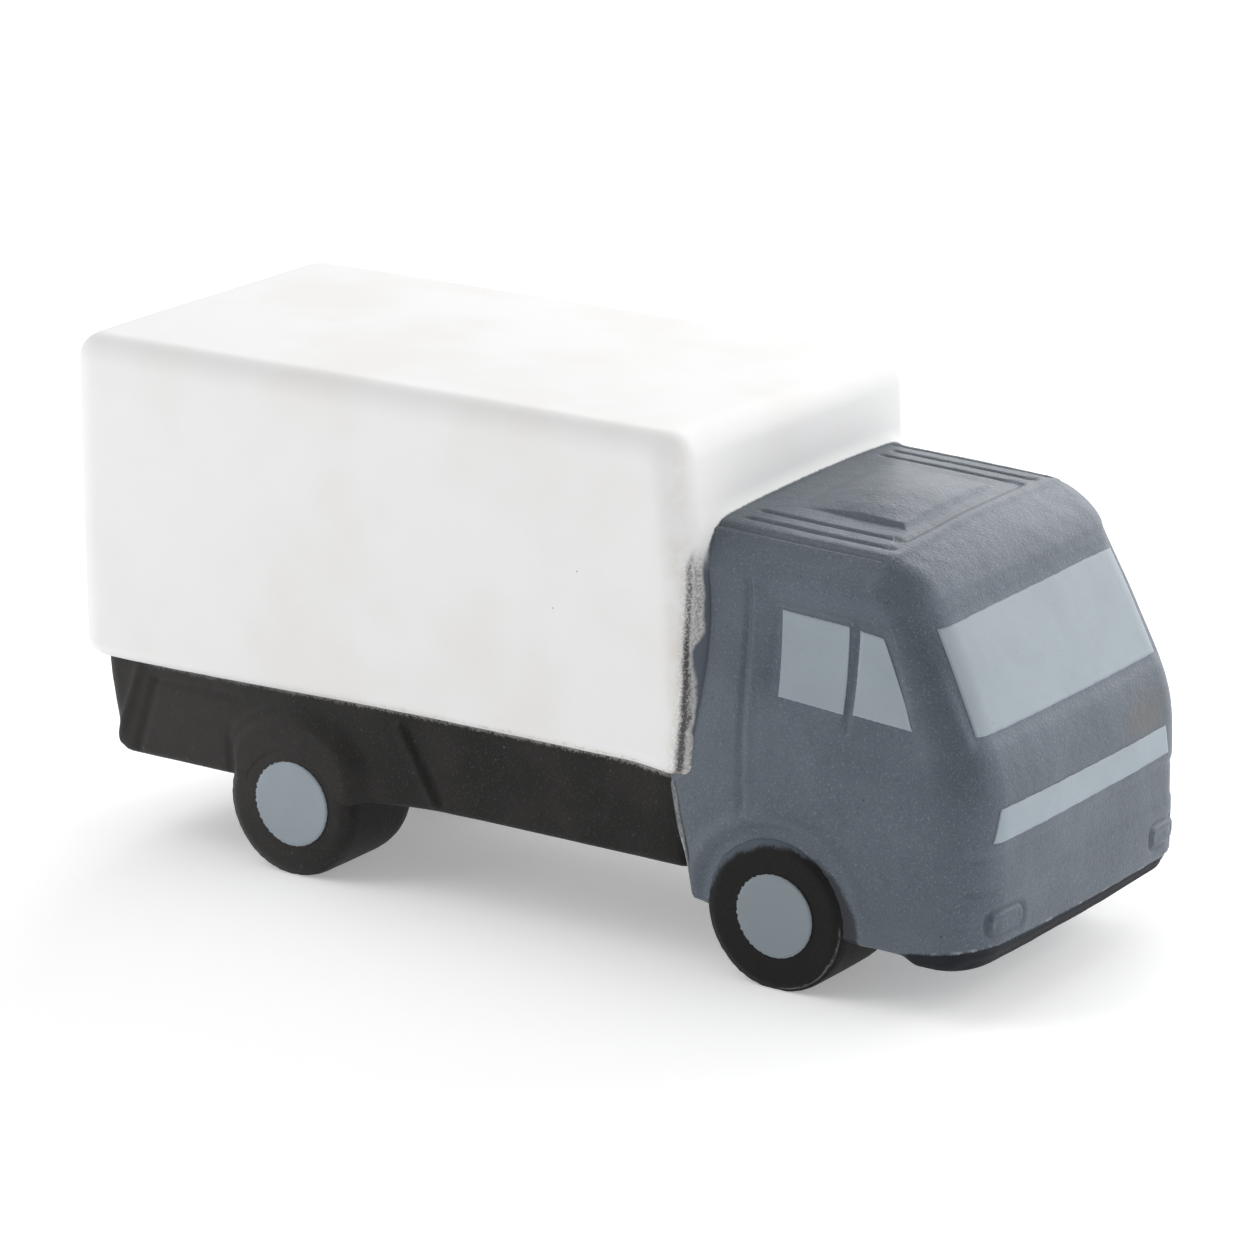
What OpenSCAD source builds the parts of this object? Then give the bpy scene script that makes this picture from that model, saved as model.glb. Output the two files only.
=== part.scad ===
// Squeezable foam model of a box-body delivery truck.
// One foam casting carries everything: thin sprayed coats over each region, and printed films for glass and hubs.
// +X points forwards, +Y to the truck's left, +Z up. The origin is on the floor under the middle of the truck.

/* [Overall] */
// Overall length, from the rear of the cargo box to the printed nose band
length = 106.6; // [100:0.1:115]
// Height of the cargo box roof above the floor
height = 52.2; // [50:0.1:56]

/* [Cargo box] */
// Length of the cargo box
box_len = 74.2; // [70:0.1:78]
// Width of the cargo box
box_w = 41.6; // [40:0.1:44]
// Height of the underside of the cargo box above the floor
box_floor = 19.2; // [18:0.1:21]
// Radius of the roof edges and upright edges of the cargo box
box_edge_r = 3.3; // [3:0.1:5]
// Radius of the lower edges of the cargo box
box_low_r = 1.8; // [1:0.1:2.5]

/* [Cab] */
// Height of the cab roof at its rear
cab_roof = 43.3; // [42:0.1:45]
// Fall of the cab roof from its rear to its front
cab_roof_fall = 0.7; // [0:0.1:1.5]
// Height of the lowest point of the cab above the floor
cab_floor = 4.8; // [4.5:0.1:6]
// Width of the cab at the roof
cab_top_w = 33.8; // [32:0.1:36]
// Width of the cab at the window sills
cab_sill_w = 38; // [37:0.1:39]
// Width of the cab at the bumper
cab_low_w = 39.8; // [39:0.1:40.4]
// How far the middle of the nose bulges ahead of its corners
nose_crown = 0.5; // [0.2:0.1:1]
// Height of the raised roof hatch
hatch_h = 0.9; // [0.5:0.1:1.2]

/* [Chassis] */
// Width of the chassis skirt
chassis_w = 38.4; // [37:0.1:39.4]
// Height of the underside of the chassis above the floor
chassis_floor = 8.5; // [8:0.1:10]
// Setback of the chassis from the rear of the cargo box
chassis_setback = 3; // [2:0.1:5]

/* [Wheels] */
// Diameter of a tyre
tyre_d = 15.2; // [14.6:0.1:15.8]
// Thickness of the moulded wheel disc
tyre_w = 10; // [8:0.1:11]
// Distance between the outer faces of a left and a right tyre
track = 40.8; // [40.4:0.1:41]
// Distance from the middle of the truck to the front axle line
front_axle = 30.8; // [30:0.1:31.6]
// Distance from the middle of the truck to the rear axle line
rear_axle = 26.1; // [25:0.1:27]
// Depth of the flat on which each tyre stands
foot_depth = 0.08; // [0.05:0.01:0.15]

/* [Coats and prints] */
// Thickness of each sprayed coat
coat_t = 0.3; // [0.2:0.05:0.4]
// Thickness of each printed film
print_t = 0.15; // [0.1:0.05:0.2]
// Diameter of a printed hub disc
hub_d = 8.6; // [8:0.1:9]

/* [Hidden] */

white = [0.93, 0.93, 0.93];
slate = [0.36, 0.39, 0.43];
soot = [0.16, 0.15, 0.15];
pale_blue = [0.62, 0.69, 0.74];
cream = [0.90, 0.83, 0.66];

// Roundness of the spheres and discs that the hulls join
round_fn = 32;
// Roundness of the wheels and hub discs
wheel_fn = 96;
// Reach of a cutter past the surface it cuts
over = 2;
// Thickness of the flat discs and slabs that the hulls join
slab = 1;

rear_x = -length / 2;
box_front_x = rear_x + box_len;
nose_x = length / 2 - print_t - nose_crown;
// How far back the cab casting runs inside the cargo box
cab_root = 3;
cab_rear_x = box_front_x - cab_root;
tyre_r = tyre_d / 2;
tyre_z = tyre_r - foot_depth;
tyre_edge_r = 1.6;
chassis_edge_r = 1.2;

// How far the roof, the brow, the sills and the band lie behind the bumper
roof_back = 9.4;
brow_back = 5.8;
sill_back = 2.4;
band_back = 0.1;
// Heights of the brow, the window sills, the band and the foot of the cab's rear edge
brow_z = 36;
sill_z = 27.3;
band_z = 18.8;
foot_z = 19;
// Width that the cab loses in front at the roof, the brow, the sills, the band and the bumper
roof_pinch = 1.4;
brow_pinch = 0.6;
sill_pinch = 0.2;
band_pinch = 0.8;
// Radii of the cab's front corners, its brow and its bumper
corner_r = 5;
brow_r = 4.8;
bumper_r = 4.4;
// Radii of the cab's rear edge at the roof, the sills and the foot
roof_r = 3.4;
sill_r = 2;
foot_r = 1.5;
// How far the foot of the rear edge runs under the cargo box, and its lowest ball ahead of it
foot_lap = 1.8;
toe_ahead = 0.4;
// Height of the lowest rear ball above the cab's lowest point
toe_rise = 3.4;

// Front corner balls of the cab, from roof to bumper: [front x, width, height of centre, radius]
cab_front = [
    [nose_x - roof_back, cab_top_w - roof_pinch, cab_roof - cab_roof_fall - corner_r, corner_r],
    [nose_x - brow_back, (cab_top_w + cab_sill_w) / 2 - brow_pinch, brow_z, brow_r],
    [nose_x - sill_back, cab_sill_w - sill_pinch, sill_z, corner_r],
    [nose_x - band_back, cab_low_w - band_pinch, band_z, corner_r],
    [nose_x, cab_low_w - sill_pinch, cab_floor + bumper_r, bumper_r]
];
// Rear corner balls of the cab, from roof to floor: [rear x, width, height of centre, radius]
cab_back = [
    [cab_rear_x, cab_top_w, cab_roof - roof_r, roof_r],
    [cab_rear_x, cab_sill_w, sill_z, sill_r],
    [box_front_x - foot_lap, cab_low_w, foot_z, foot_r],
    [box_front_x + toe_ahead, cab_low_w, cab_floor + toe_rise, foot_r]
];

// Windscreen outline seen from the front: [across, up]
windscreen_outline = [[-16, 36.8], [-8, 37.2], [8, 37.2], [16, 36.8], [16.1, 27.3], [-16.1, 27.3]];
// Nose band outline seen from the front: [across, up]
band_outline = [[-15.2, 20.4], [15.2, 20.4], [16.2, 17.4], [-16.2, 17.4]];
// Side pane outlines seen from the side: [along, up]
door_window_outline = [[30.3, 36.7], [37.6, 36.3], [37.1, 27.7], [29.9, 28.1]];
quarter_window_outline = [[38.7, 36], [41.2, 35.8], [44.4, 27.4], [38.1, 27.8]];

// Roof grooves: distance of each groove from the middle, and where it ends in front
roof_grooves = [[10.7, 39.3], [12.9, 39.4], [15, 39.6]];
groove_w = 0.5;
groove_depth = 0.18;
// Hatch on the cab roof: length and width of its foot, and how much each side tapers in
hatch_foot = [12, 15.6];
hatch_taper = 1.6;
hatch_x = 31.6;
// Raised ring round the front wheel arch
arch_ring_r = 9.2;
arch_ring_w = 1;
arch_ring_proud = 0.2;
// How far the slanted rear of the chassis runs forwards on its way down
chassis_slant = 1;
// How far the chassis runs forwards under the cab
chassis_lap = 1;
// Reach of the cutters that lay the prints on the nose and on the sides
nose_reach = 12;
side_reach = 4;

// ---- Shapes of the casting, each grown or shrunk by g ----

module ball_pair(x, w, z, r, g) {
    for (side = [-1, 1])
        translate([x, side * (w / 2 - r), z])
            sphere(r = r + g, $fn = round_fn);
}

module box_shape(g) {
    inset = box_edge_r - box_low_r;
    hull() {
        for (x = [rear_x + box_edge_r, box_front_x - box_edge_r])
            for (side = [-1, 1])
                translate([x, side * (box_w / 2 - box_edge_r), 0]) {
                    translate([0, 0, height - box_edge_r])
                        sphere(r = box_edge_r + g, $fn = round_fn);
                    translate([0, 0, box_floor + box_low_r])
                        cylinder(r = box_edge_r + g, h = slab, $fn = round_fn);
                    translate([0, 0, box_floor - g])
                        cylinder(r = inset + g, h = slab, $fn = round_fn);
                }
    }
}

module cab_shape(g) {
    hull() {
        for (c = cab_front)
            ball_pair(c[0] - c[3], c[1], c[2], c[3], g);
        for (c = cab_back)
            ball_pair(c[0] + c[3], c[1], c[2], c[3], g);
        // Crowned middle of the nose
        for (c = [cab_front[2], cab_front[3], cab_front[4]])
            translate([c[0] + nose_crown - c[3], 0, c[2]])
                sphere(r = c[3] + g, $fn = round_fn);
    }
}

module hatch_shape(g) {
    roof_z = cab_roof - cab_roof_fall / 2;
    foot = [hatch_foot[0] + 2 * g, hatch_foot[1] + 2 * g, slab];
    top = [foot[0] - 2 * hatch_taper, foot[1] - 2 * hatch_taper, slab];
    translate([hatch_x, 0, roof_z - slab])
        hull() {
            cube(foot, center = true);
            translate([0, 0, slab + hatch_h + g])
                cube(top, center = true);
        }
}

module chassis_shape(g) {
    front_x = box_front_x + chassis_lap;
    side_y = chassis_w / 2 - chassis_edge_r;
    low_z = chassis_floor + chassis_edge_r;
    rear = rear_x + chassis_setback + chassis_edge_r;
    hull() {
        for (side = [-1, 1]) {
            // Underside edges
            for (x = [rear + chassis_slant, front_x])
                translate([x, side * side_y, low_z])
                    sphere(r = chassis_edge_r + g, $fn = round_fn);
            // Upper edges, inside the cargo box
            for (x = [rear, front_x])
                translate([x, side * side_y, box_floor])
                    cylinder(r = chassis_edge_r + g, h = box_low_r + slab, $fn = round_fn);
        }
    }
}

// Solid of a wheel, as a rounded disc on its side with a flat foot
module wheel_shape(x, side, g) {
    half = tyre_w / 2;
    r = tyre_r + g;
    e = tyre_edge_r + g;
    intersection() {
        translate([x, side * (track / 2 - half), tyre_z])
            rotate([90, 0, 0])
                rotate_extrude($fn = wheel_fn)
                    union() {
                        translate([0, -half - g])
                            square([r - e, tyre_w + 2 * g]);
                        translate([0, -half - g + e])
                            square([r, tyre_w + 2 * g - 2 * e]);
                        for (y = [-half - g + e, half + g - e])
                            translate([r - e, y])
                                circle(r = e, $fn = round_fn);
                    }
        translate([-length, -length / 2, -g])
            cube([2 * length, length, length]);
    }
}

module all_wheels(g) {
    for (x = [front_axle, -rear_axle])
        for (side = [-1, 1])
            wheel_shape(x, side, g);
}

// Everything under the coats
module core() {
    union() {
        box_shape(-coat_t);
        cab_shape(-coat_t);
        hatch_shape(-coat_t);
        chassis_shape(-coat_t);
        all_wheels(-coat_t);
    }
}

// Cutters for the grooves along the cab roof, which fall with it
module roof_groove_cuts() {
    fall = atan(cab_roof_fall / (roof_grooves[2][1] - box_front_x));
    for (g = roof_grooves)
        for (side = [-1, 1])
            translate([box_front_x, side * g[0], cab_roof - groove_depth])
                rotate([0, fall, 0])
                    translate([-over, -groove_w / 2, 0])
                        cube([g[1] - box_front_x + over, groove_w, over]);
}

// Raised rings round the front wheels
module arch_rings() {
    intersection() {
        cab_shape(arch_ring_proud);
        for (side = [-1, 1])
            translate([front_axle, side * (cab_low_w / 2 - arch_ring_w), tyre_z])
                rotate([90, 0, 0])
                    rotate_extrude($fn = wheel_fn)
                        translate([arch_ring_r - arch_ring_w / 2, -over])
                            square([arch_ring_w, 2 * over]);
    }
}

// ---- Sub-parts ----

module foam_casting() {
    color(cream)
        core();
}

module box_coat() {
    color(white)
        difference() {
            box_shape(0);
            core();
            cab_shape(0);
        }
}

module cab_coat() {
    color(slate)
        difference() {
            union() {
                cab_shape(0);
                hatch_shape(0);
                arch_rings();
            }
            core();
            all_wheels(0);
            roof_groove_cuts();
        }
}

module chassis_coat() {
    color(soot)
        difference() {
            chassis_shape(0);
            core();
            box_shape(0);
            cab_shape(0);
            all_wheels(0);
        }
}

module tyre_coat(x, side) {
    color(soot)
        difference() {
            wheel_shape(x, side, 0);
            core();
        }
}

// Film that follows the cab's surface, one print thickness proud of it
module cab_film() {
    intersection() {
        difference() {
            cab_shape(print_t);
            cab_shape(0);
        }
        children();
    }
}

module nose_print(outline) {
    color(pale_blue)
        cab_film()
            translate([nose_x - nose_reach, 0, 0])
                rotate([90, 0, 90])
                    linear_extrude(nose_reach + over)
                        polygon(outline);
}

module side_print(outline, side) {
    color(pale_blue)
        cab_film()
            translate([0, side > 0 ? cab_low_w / 2 + over : -cab_low_w / 2 + side_reach, 0])
                rotate([90, 0, 0])
                    linear_extrude(side_reach + over)
                        polygon(outline);
}

module hub_print(x, side) {
    color(pale_blue)
        translate([x, side * (track / 2 + print_t / 2), tyre_z])
            rotate([90, 0, 0])
                cylinder(d = hub_d, h = print_t, center = true, $fn = wheel_fn);
}

foam_casting();
box_coat();
cab_coat();
chassis_coat();
tyre_coat(front_axle, 1);  // front_left_tyre_coat
tyre_coat(front_axle, -1);  // front_right_tyre_coat
tyre_coat(-rear_axle, 1);  // rear_left_tyre_coat
tyre_coat(-rear_axle, -1);  // rear_right_tyre_coat
nose_print(windscreen_outline);  // windscreen_print
nose_print(band_outline);  // nose_band_print
side_print(door_window_outline, 1);  // left_door_window_print
side_print(quarter_window_outline, 1);  // left_quarter_window_print
side_print(door_window_outline, -1);  // right_door_window_print
side_print(quarter_window_outline, -1);  // right_quarter_window_print
hub_print(front_axle, 1);  // front_left_hub_print
hub_print(front_axle, -1);  // front_right_hub_print
hub_print(-rear_axle, 1);  // rear_left_hub_print
hub_print(-rear_axle, -1);  // rear_right_hub_print
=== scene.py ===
"""Foam squeeze model of a box-body delivery truck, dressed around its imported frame.

One casting of soft foam carries everything. Sprayed coats lie over each region of it, and thin printed
films stand for the glass and the hubs. Lengths are in millimetres until a mesh is finished, and then in
metres. +X points forwards, +Y to the truck's left and +Z up.
"""

import logging
import math
from dataclasses import dataclass, field
from enum import Enum
from typing import Callable, Sequence

import bmesh
import bpy
import numpy as np
from mathutils import Matrix, Vector
from mathutils.bvhtree import BVHTree


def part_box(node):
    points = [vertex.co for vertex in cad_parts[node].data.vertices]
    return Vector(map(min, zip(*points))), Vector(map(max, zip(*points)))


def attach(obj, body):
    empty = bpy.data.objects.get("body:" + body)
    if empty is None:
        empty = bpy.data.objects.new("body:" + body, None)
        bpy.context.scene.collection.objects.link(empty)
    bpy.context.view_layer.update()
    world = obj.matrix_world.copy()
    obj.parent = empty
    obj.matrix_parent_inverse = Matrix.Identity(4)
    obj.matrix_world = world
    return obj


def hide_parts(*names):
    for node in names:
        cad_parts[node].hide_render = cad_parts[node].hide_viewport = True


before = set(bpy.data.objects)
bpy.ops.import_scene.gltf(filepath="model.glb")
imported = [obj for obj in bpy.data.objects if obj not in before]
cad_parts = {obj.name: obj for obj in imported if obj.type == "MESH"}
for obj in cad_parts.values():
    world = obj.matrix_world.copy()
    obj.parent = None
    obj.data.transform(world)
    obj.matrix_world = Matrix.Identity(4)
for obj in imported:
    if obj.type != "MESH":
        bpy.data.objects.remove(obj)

LOG = logging.getLogger("truck")
Array = np.ndarray
Shape = Callable[[Array], Array]
Relief = Callable[[Array, Array], Array]

MM = 0.001
ROOT = "root"


# ---- Reading the frame ----


def span(node: str) -> tuple[Array, Array]:
    """Lowest and highest corner of a CAD node, in millimetres."""
    low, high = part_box(node)
    return np.array(low) / MM, np.array(high) / MM


# ---- Smooth fields that shape a surface ----


def ease(low: float, high: float, value: Array) -> Array:
    """Smooth step from 0 at low to 1 at high."""
    share = np.clip((value - low) / (high - low), 0, 1)
    return share * share * (3 - 2 * share)


def bell(distance: Array, width: float) -> Array:
    """Bump of height 1 at distance 0, which fades over width."""
    return np.exp(-((distance / width) ** 2))


def knee(value: Array, start: float, softness: float) -> Array:
    """Nothing before start and one for one after it, with a soft bend between."""
    return softness * np.logaddexp(0, (value - start) / softness)


def fillet(distance: Array, reach: float) -> Array:
    """Concave rise from 0 at reach to 1 at distance 0 and below."""
    return np.clip(1 - distance / reach, 0, 1) ** 2


def line_distance(a: Array, b: Array, start: Sequence[float], end: Sequence[float]) -> Array:
    """Distance of points from a straight stretch in one plane.

    Args:
        a: First coordinate of the points.
        b: Second coordinate of the points.
        start: One end of the stretch.
        end: Its other end.

    Returns:
        The distance of each point.
    """
    da, db = end[0] - start[0], end[1] - start[1]
    share = np.clip(((a - start[0]) * da + (b - start[1]) * db) / (da * da + db * db), 0, 1)
    return np.hypot(a - start[0] - share * da, b - start[1] - share * db)


def outline_distance(a: Array, b: Array, corners: Sequence[Sequence[float]]) -> Array:
    """Signed distance of points from a convex outline, below zero inside it.

    Args:
        a: First coordinate of the points.
        b: Second coordinate of the points.
        corners: The outline's corners, in order round it.

    Returns:
        The distance of each point.
    """
    middle = np.mean(np.array(corners), axis=0)
    result = np.full(np.shape(a), -np.inf)
    for start, end in zip(corners, [*corners[1:], corners[0]]):
        out = np.array([end[1] - start[1], start[0] - end[0]])
        out = out / np.linalg.norm(out)
        if out @ (np.array(start) - middle) < 0:
            out = -out
        result = np.maximum(result, (a - start[0]) * out[0] + (b - start[1]) * out[1])
    return result


def ripple(points: Array, size: float, seed: int) -> Array:
    """Gentle unevenness of a moulded surface, between -1 and 1.

    Args:
        points: The points, a row each.
        size: Length of a wave in millimetres.
        seed: Number that picks the pattern.

    Returns:
        The height at each point.
    """
    draw = np.random.default_rng(seed)
    waves = 7
    total = np.zeros(len(points))
    for _ in range(waves):
        direction = draw.normal(size=3)
        direction *= 2 * math.pi / (size * np.linalg.norm(direction) * draw.uniform(0.6, 1.5))
        total += np.sin(points @ direction + draw.uniform(0, 2 * math.pi))
    return total / waves


# ---- Meshes ----


def new_object(name: str, mesh: bpy.types.Mesh) -> bpy.types.Object:
    """Adds a mesh to the scene as an object at the origin.

    Args:
        name: Name of the object.
        mesh: Its mesh, in metres.

    Returns:
        The object.
    """
    piece = bpy.data.objects.new(name, mesh)
    bpy.context.scene.collection.objects.link(piece)
    return piece


def cut_cube(cuts: Sequence[int]) -> bmesh.types.BMesh:
    """A cube from -1 to 1 cut into a grid on every face.

    Args:
        cuts: Number of cells along X, Y and Z.

    Returns:
        The cube.
    """
    bm = bmesh.new()
    bmesh.ops.create_cube(bm, size=2)
    for axis, cells in enumerate(cuts):
        edges = [e for e in bm.edges if abs(e.verts[0].co[axis] - e.verts[1].co[axis]) > 1]
        bmesh.ops.subdivide_edges(bm, edges=edges, cuts=cells - 1, use_grid_fill=True)
    return bm


def triples(elements: bpy.types.bpy_prop_collection, attribute: str) -> Array:
    """Reads an attribute of three numbers from every element of a mesh.

    Args:
        elements: The elements, such as the mesh's vertices.
        attribute: Name of the attribute.

    Returns:
        The values, a row for each element.
    """
    flat = np.empty(len(elements) * 3, np.float32)
    elements.foreach_get(attribute, flat)
    return flat.reshape(-1, 3).astype(float)


def coordinates(mesh: bpy.types.Mesh) -> Array:
    """The places of a mesh's vertices, a row each."""
    return triples(mesh.vertices, "co")


def normals(mesh: bpy.types.Mesh) -> Array:
    """The outward directions at a mesh's vertices, a row each."""
    return triples(mesh.vertex_normals, "vector")


def move_to(mesh: bpy.types.Mesh, points: Array) -> None:
    """Moves a mesh's vertices to new places."""
    mesh.vertices.foreach_set("co", points.astype(np.float32).ravel())
    mesh.update()


@dataclass(frozen=True)
class Form:
    """A box whose upright corners, upper edges and lower edges are rounded on their own.

    A corner has a radius along and a radius across the truck. The upper and the lower edges have a radius
    at the rear, at the sides and at the front.
    """

    low: tuple[float, float, float]
    high: tuple[float, float, float]
    rear_corner: tuple[float, float]
    front_corner: tuple[float, float]
    upper: tuple[float, float, float]
    lower: tuple[float, float, float]
    arc_share: float = 1.25

    def ring(self, square: Array) -> tuple[Array, Array]:
        """Outline seen from above.

        Args:
            square: Points on the border of a square from -1 to 1, a row each.

        Returns:
            The outline's points, and its outward directions.
        """
        low, high = np.array(self.low[:2]), np.array(self.high[:2])
        length = high - low
        share = (square + 1) / 2
        across = self.rear_corner[1] + (self.front_corner[1] - self.rear_corner[1]) * share[:, 0]
        first = np.column_stack([np.full(len(square), self.rear_corner[0]), across])
        last = np.column_stack([np.full(len(square), self.front_corner[0]), across])
        first_share, last_share = self.arc_share * first / length, self.arc_share * last / length
        bend = np.where(share < first_share, share / first_share - 1, 0)
        bend = np.where(share > 1 - last_share, 1 - (1 - share) / last_share, bend)
        middle = np.clip((share - first_share) / (1 - first_share - last_share), 0, 1)
        centre = low + first + middle * (length - first - last)
        radius = np.where(bend < 0, first, last)
        round_ = bend * np.sqrt(1 - bend[:, ::-1] ** 2 / 2)
        out = round_ / radius
        return centre + radius * round_, out / np.linalg.norm(out, axis=1)[:, None]

    @staticmethod
    def edge_radius(radii: tuple[float, float, float], out: Array) -> Array:
        """Radius of an upper or lower edge where the outline faces a direction.

        Args:
            radii: Radius at the rear, at the sides and at the front.
            out: The outline's outward directions, a row each.

        Returns:
            The radius at each direction.
        """
        rear, side, front = radii
        ahead, behind = np.maximum(out[:, 0], 0) ** 2, np.minimum(out[:, 0], 0) ** 2
        return side + (front - side) * ahead + (rear - side) * behind

    def place(self, unit: Array) -> Array:
        """Lays the points of a cube from -1 to 1 on the rounded box.

        Args:
            unit: Points on the cube, a row each.

        Returns:
            The points on the box, a row each.
        """
        w = unit[:, 2]
        level = np.maximum(np.abs(unit[:, :2]).max(axis=1), 1e-6)
        square = np.where(level[:, None] > 1e-5, unit[:, :2] / level[:, None], [1, 0])
        outline, out = self.ring(square)
        upper, lower = self.edge_radius(self.upper, out), self.edge_radius(self.lower, out)
        radius = np.where(w > 0, upper, lower)
        bottom, top = self.low[2], self.high[2]
        bend = math.pi / 2 * max(*self.upper, *self.lower)
        wall_share, cap_share = bend / (top - bottom), bend / (self.high[1] - self.low[1])
        near = np.clip(1 - (1 - np.abs(w)) / wall_share, 0, 1)
        turn = math.pi / 4 * (near + np.clip((1 - level) / cap_share, 0, 1))
        inset, drop = radius * (1 - np.cos(turn)), radius * (1 - np.sin(turn))
        flat = bottom + lower + (w / (1 - wall_share) + 1) / 2 * (top - bottom - upper - lower)
        z = np.where(near > 0, np.where(w > 0, top - drop, bottom + drop), flat)
        middle = (np.array(self.low[:2]) + np.array(self.high[:2])) / 2
        inner = np.minimum(level / (1 - cap_share), 1)[:, None]
        plan = middle + (outline - out * inset[:, None] - middle) * inner
        room = (np.array(self.high[:2]) - np.array(self.low[:2])) / 2 - radius.max()
        plain = middle + unit[:, :2] / (1 - cap_share) * room
        plan += (plain - plan) * ease(1.0, 0.8, inner)
        return np.column_stack([plan, z])

    def skin(
        self, cuts: Sequence[int], shape: Shape, relief: Relief | None = None, open_side: Vector | None = None
    ) -> bpy.types.Mesh:
        """Makes the box's surface.

        Args:
            cuts: Number of cells along X, Y and Z.
            shape: What moves the box's points into the real form.
            relief: Height to add along the surface's direction, from points and directions.
            open_side: Direction of the face that is left out, or None for a closed surface.

        Returns:
            The mesh, in millimetres.
        """
        bm = cut_cube(cuts)
        if open_side is not None:
            lost = [f for f in bm.faces if f.calc_center_median().dot(open_side) > 1 - 1e-4]
            bmesh.ops.delete(bm, geom=lost, context="FACES")
        mesh = bpy.data.meshes.new("skin")
        bm.to_mesh(mesh)
        bm.free()
        move_to(mesh, shape(self.place(coordinates(mesh))))
        if relief is not None:
            points, out = coordinates(mesh), normals(mesh)
            move_to(mesh, points + out * relief(points, out)[:, None])
        return mesh


def shrunk(mesh: bpy.types.Mesh, depth: float) -> bpy.types.Mesh:
    """Moves a mesh's surface inwards by depth."""
    move_to(mesh, coordinates(mesh) - depth * normals(mesh))
    return mesh


def film(outer: bpy.types.Mesh, inner: bpy.types.Mesh) -> bpy.types.Mesh:
    """Joins an outer and an inner surface into one closed coat, with a rim where both are open.

    Args:
        outer: The surface that shows.
        inner: The surface that lies on the foam.

    Returns:
        The coat, in metres.
    """
    bm = bmesh.new()
    bm.from_mesh(outer)
    inner.flip_normals()
    bm.from_mesh(inner)
    for mesh in (outer, inner):
        bpy.data.meshes.remove(mesh)
    rims = [e for e in bm.edges if e.is_boundary]
    if rims:
        bmesh.ops.bridge_loops(bm, edges=rims)
    return finished(bm)


def finished(bm: bmesh.types.BMesh) -> bpy.types.Mesh:
    """Turns a bmesh in millimetres into a smooth mesh in metres, and frees it.

    Args:
        bm: The bmesh.

    Returns:
        The mesh.
    """
    bmesh.ops.scale(bm, vec=(MM, MM, MM), verts=bm.verts[:])
    for face in bm.faces:
        face.smooth = True
    mesh = bpy.data.meshes.new("piece")
    bm.to_mesh(mesh)
    bm.free()
    return mesh


# ---- Shader arithmetic ----


class Field:
    """A shader value that takes Python arithmetic, one Math node for each step."""

    def __init__(self, shader: "Shader", socket: bpy.types.NodeSocket) -> None:
        """Wraps a socket of a shader."""
        self.shader = shader
        self.socket = socket

    def math(self, operation: str, *values: "Field | float") -> "Field":
        """Adds a Math node and returns what it gives."""
        node = self.shader.node("ShaderNodeMath", {"operation": operation}, dict(enumerate(values)))
        return Field(self.shader, node.outputs[0])

    def __add__(self, other: "Field | float") -> "Field":
        """self + other."""
        return self.math("ADD", self, other)

    __radd__ = __add__

    def __sub__(self, other: "Field | float") -> "Field":
        """self - other."""
        return self.math("SUBTRACT", self, other)

    def __rsub__(self, other: "Field | float") -> "Field":
        """other - self."""
        return self.math("SUBTRACT", other, self)

    def __mul__(self, other: "Field | float") -> "Field":
        """self * other."""
        return self.math("MULTIPLY", self, other)

    __rmul__ = __mul__

    def __truediv__(self, other: "Field | float") -> "Field":
        """self / other."""
        return self.math("DIVIDE", self, other)

    def __pow__(self, other: "Field | float") -> "Field":
        """self to a power."""
        return self.math("POWER", self, other)

    def size(self) -> "Field":
        """Absolute value."""
        return self.math("ABSOLUTE", self)

    def root(self) -> "Field":
        """Square root."""
        return self.math("SQRT", self)

    def most(self, other: "Field | float") -> "Field":
        """The larger of the two."""
        return self.math("MAXIMUM", self, other)

    def ease(self, low: float, high: float) -> "Field":
        """Smooth step from 0 at low to 1 at high, where low may be the larger.

        Args:
            low: Value that gives 0.
            high: Value that gives 1.

        Returns:
            The step.
        """
        rising = high > low
        settings = {"interpolation_type": "SMOOTHSTEP"}
        limits = {"From Min": min(low, high), "From Max": max(low, high)}
        ends = {"To Min": 0.0 if rising else 1.0, "To Max": 1.0 if rising else 0.0}
        node = self.shader.node("ShaderNodeMapRange", settings, {"Value": self, **limits, **ends})
        return Field(self.shader, node.outputs["Result"])

    def band(self, centre: float, half: float) -> "Field":
        """1 at centre, fading to 0 at half on both sides."""
        return (self - centre).size().ease(half, 0.0)


Colour = tuple[float, float, float]


def linear(red: int, green: int, blue: int) -> Colour:
    """A screen colour of 0 to 255 as linear values."""
    shares = (red / 255, green / 255, blue / 255)
    return tuple(c / 12.92 if c <= 0.04045 else ((c + 0.055) / 1.055) ** 2.4 for c in shares)


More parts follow.
